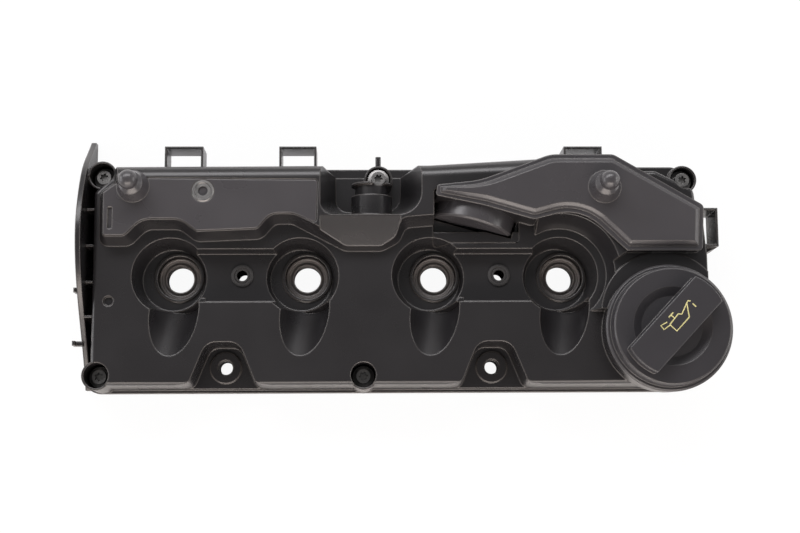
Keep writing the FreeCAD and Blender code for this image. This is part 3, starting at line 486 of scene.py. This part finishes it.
# %% Clamp bolt seals
clamp_seal_steps = [
    (7.6, 0.0), (7.6, 1.1), (5.1, 1.3), (5.1, 29.9), (7.6, 30.0), (7.6, 31.1), (6.9, 31.6), (5.6, 31.6),
    (5.1, 30.9), (4.5, 31.2), (3.7, 31.1), (3.5, 30.4), (4.6, 28.6), (4.6, 0.0)]
for index in (1, 2):
    x, y = middle(f"clamp_bolt_seal_{index}")
    seal = turned(f"clamp_lip_seal_{index}", x, y, clamp_seal_steps, sides=64)
    dress(seal, "cover", rubber)
    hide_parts(f"clamp_bolt_seal_{index}")
    print(seal.name, "triangles:", 2 * len(seal.data.polygons))

# %% [markdown]
# ## Closed trough ends
# A trough runs down from the deck into each well, where the injector's line comes in. The moulding
# closes the trough's lower end with a curved wall. Each wall is a slice of a cylinder round the
# trough's own axis. It is cut away where the well is open, and trimmed below the deck.

# %% Trough ends
deck_top = 43.0 * mm
wall = 3.0 * mm
trough_radius = 16.3 * mm
trough_line = heading(math.radians(8.8), math.radians(33.0))
trough_shift, trough_front = -0.8 * mm, -26.5 * mm
end_distance = 13.0 * mm
overlap = 0.2 * mm
end_radius = trough_radius + 0.8 * wall
end_top = deck_top - 8.0 * mm
well_shift, well_y = -3.8 * mm, -1.8 * mm
well_low, well_high = 16.0 * mm, 46.0 * mm
well_low_radius, well_high_radius = 20.6 * mm, 26.5 * mm
for index, x in enumerate(injector_xs, start=1):
    end = Vector((x + trough_shift, trough_front, deck_top)) - trough_line * end_distance
    slab = bar_between(end - trough_line * wall, end + trough_line * overlap, end_radius, sides=96)
    slab.name = f"trough_end_{index}"
    cut_away(slab, cone(well_low_radius, well_high_radius, well_low, well_high, x + well_shift, well_y))
    trim(slab, [((0.0, 0.0, end_top), (0.0, 0.0, 1.0))])
    dress(slab, "cover", housing_plastic)
    print(slab.name, "faces:", len(slab.data.polygons))

# %% [markdown]
# ## Saddle round the regulator
# The crankcase pressure regulator is a drum that looks out of the plateau's front wall, and the cover
# hugs it, so that no deep gap is left round it. The saddle starts as a block in the niche. Its rear
# is cut off behind the drum, and its top is cut to a gentle rise towards the rear. A lip as high as
# the deck is joined on along its front. Then the drum's own cylinder, a little larger, and the well
# in front of it are cut out.

# %% Regulator saddle
drum_centre = Vector((68.6, 31.4, 33.0)) * mm
drum_line = heading(math.radians(15.0), math.radians(4.0))
drum_radius = 28.5 * mm
drum_gap = 1.2 * mm
drum_behind, drum_ahead = 40.0 * mm, 1.5 * mm
niche_left, niche_right, niche_front, niche_floor = 42.4 * mm, 101.2 * mm, 20.4 * mm, 11.8 * mm
block_rear, block_top, lip_rear = 57.0 * mm, 58.0 * mm, 28.0 * mm
rear_line = 44.2 * mm
saddle_front_height, saddle_rise = 36.0 * mm, 0.2
third_well_floor, third_well_radius = 20.0 * mm, 21.5 * mm
well_flare = 4.5 / 23.0


def niche_block(name, rear, top):
    """A block that fills the niche's front part up to a height."""
    middle_point = ((niche_left + niche_right) / 2, (niche_front + rear) / 2, (niche_floor + top) / 2)
    bpy.ops.mesh.primitive_cube_add(size=1.0, location=middle_point)
    block = bpy.context.object
    block.name = name
    block.scale = (niche_right - niche_left, rear - niche_front, top - niche_floor)
    keep_place(block)
    return block


saddle = niche_block("regulator_saddle", block_rear, block_top)
rear_cut = ((niche_right, rear_line, 0.0), (0.2, 0.98, 0.0))
top_cut = ((0.0, niche_front, saddle_front_height), (0.0, -saddle_rise, 1.0))
trim(saddle, [rear_cut, top_cut])
join_on(saddle, niche_block("saddle_lip", lip_rear, deck_top))
cut_away(saddle, bar_between(drum_centre - drum_line * drum_behind, drum_centre + drum_line * drum_ahead,
                             drum_radius + drum_gap, sides=96))
third_well_high_radius = third_well_radius + well_flare * (well_high - third_well_floor)
cut_away(saddle, cone(third_well_radius, third_well_high_radius, third_well_floor, well_high,
                      injector_xs[2] + well_shift, well_y))
dress(saddle, "cover", housing_plastic)
print("saddle faces:", len(saddle.data.polygons))

# %% [markdown]
# ## Cover bolts
# Five captive bolts hold the cover down. Each has a round head on a flange, with a six-lobed socket.
# One bolt is put together from a head, a shank, a flange and a cone. The socket is cut with a round
# bar and six smaller ones round it, and the bolt is then copied to each place and turned a little
# further each time, because no two real bolts stop at the same angle.

# %% Cover bolts
bolt_places = [(-184.0, 69.0), (-184.3, -68.8), (5.5, 68.2), (-5.2, -69.0), (217.2, 67.0)]
bolt_low, bolt_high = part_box("cover_bolts")
bolt_foot, head_top = bolt_low[2], bolt_high[2]
head_radius, head_foot = 4.9 * mm, 23.0 * mm
shank_radius, shank_top = 3.0 * mm, 22.9 * mm
flange_radius, flange_foot, flange_top = 7.4 * mm, 22.4 * mm, 23.2 * mm
cone_low_radius, cone_high_radius = 7.2 * mm, 5.0 * mm
cone_foot, cone_top = 23.1 * mm, 24.3 * mm
socket_radius, socket_floor, above_head = 2.1 * mm, head_top - 3.0 * mm, head_top + 1.0 * mm
lobes, lobe_reach, lobe_radius = 6, 2.25 * mm, 0.72 * mm
turn_between_bolts = math.radians(17.0)

bolt = upright(head_radius, head_foot, head_top)
bolt.name = "captive_bolt"
join_on(bolt, upright(shank_radius, bolt_foot, shank_top))
join_on(bolt, upright(flange_radius, flange_foot, flange_top))
join_on(bolt, cone(cone_low_radius, cone_high_radius, cone_foot, cone_top, sides=64))
cut_away(bolt, upright(socket_radius, socket_floor, above_head))
for index in range(lobes):
    turn = 2.0 * math.pi * index / lobes
    lobe_x, lobe_y = lobe_reach * math.cos(turn), lobe_reach * math.sin(turn)
    cut_away(bolt, upright(lobe_radius, socket_floor, above_head, lobe_x, lobe_y, sides=24))
select_only(bolt)
bpy.ops.object.shade_smooth_by_angle(angle=math.radians(35))
for index, (x, y) in enumerate(bolt_places, start=1):
    copy = bolt.copy()
    copy.data = bolt.data.copy()
    copy.name = f"captive_bolt_{index}"
    scene.collection.objects.link(copy)
    copy.location = (x * mm, y * mm, 0.0)
    copy.rotation_euler = (0.0, 0.0, turn_between_bolts * index)
    keep_place(copy)
    dress(copy, "cover", steel)
    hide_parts("cover_bolts")
bpy.data.objects.remove(bolt, do_unlink=True)
print("bolts:", len(bolt_places))

# %% [markdown]
# ## Symbol on the filler cap
# The grip bar carries the yellow oil can that marks every oil filler. It is drawn as thin strokes on
# the bar's top: one curve with a short line for each stroke, made a mesh, flattened to a skin of
# print and turned with the bar. A fine noise wears the print a little.

# %% Print finish
print_paint, tree, shader = new_material("yellow_print")
shader.inputs["Roughness"].default_value = 0.5
place = tree.nodes.new("ShaderNodeTexCoord")
worn = tree.nodes.new("ShaderNodeTexNoise")
worn.inputs["Scale"].default_value = 500.0
tone = tree.nodes.new("ShaderNodeMix")
tone.data_type = "RGBA"
tone.inputs["A"].default_value = (0.36, 0.33, 0.12, 1.0)
tone.inputs["B"].default_value = (0.56, 0.52, 0.26, 1.0)
tree.links.new(place.outputs["Object"], worn.inputs["Vector"])
tree.links.new(worn.outputs["Fac"], tone.inputs["Factor"])
tree.links.new(tone.outputs["Result"], shader.inputs["Base Color"])
print("print:", print_paint.name)

# %% Oil can symbol
bar_top = Vector((197.2, -40.7, 91.0)) * mm
grip_turn = math.radians(46.8)
stroke_radius = 0.42 * mm
print_flatness = 0.3
strokes = [
    [(-3.4, 3.0), (5.6, 3.6), (7.0, 1.8), (14.6, 4.2), (16.3, 4.6), (17.3, 3.3)],
    [(14.4, 3.9), (9.0, -2.9), (8.0, -3.1), (-3.4, -3.1), (-3.4, 3.0)],
    [(-3.4, 5.3), (-7.9, 6.8), (-8.4, 3.6), (-3.6, 2.6)],
    [(-0.4, 6.6), (4.0, 6.6)],
    [(1.8, 6.6), (1.8, 3.4)],
    [(17.0, 1.2), (17.0, -1.8)]]
curve = bpy.data.curves.new("oil_can_symbol", "CURVE")
curve.dimensions = "3D"
curve.bevel_depth = stroke_radius
curve.bevel_resolution = 2
curve.use_fill_caps = True
for points in strokes:
    line = curve.splines.new("POLY")
    line.points.add(len(points) - 1)
    for point, (along, across) in zip(line.points, points):
        point.co = (along * mm, across * mm, 0.0, 1.0)
symbol = bpy.data.objects.new("oil_can_symbol", curve)
scene.collection.objects.link(symbol)
select_only(symbol)
bpy.ops.object.convert(target="MESH")
symbol = bpy.context.object
symbol.scale = (1.0, 1.0, print_flatness)
symbol.rotation_euler = (0.0, 0.0, grip_turn)
symbol.location = bar_top
keep_place(symbol)
dress(symbol, "cap", print_paint)
print("symbol faces:", len(symbol.data.polygons))
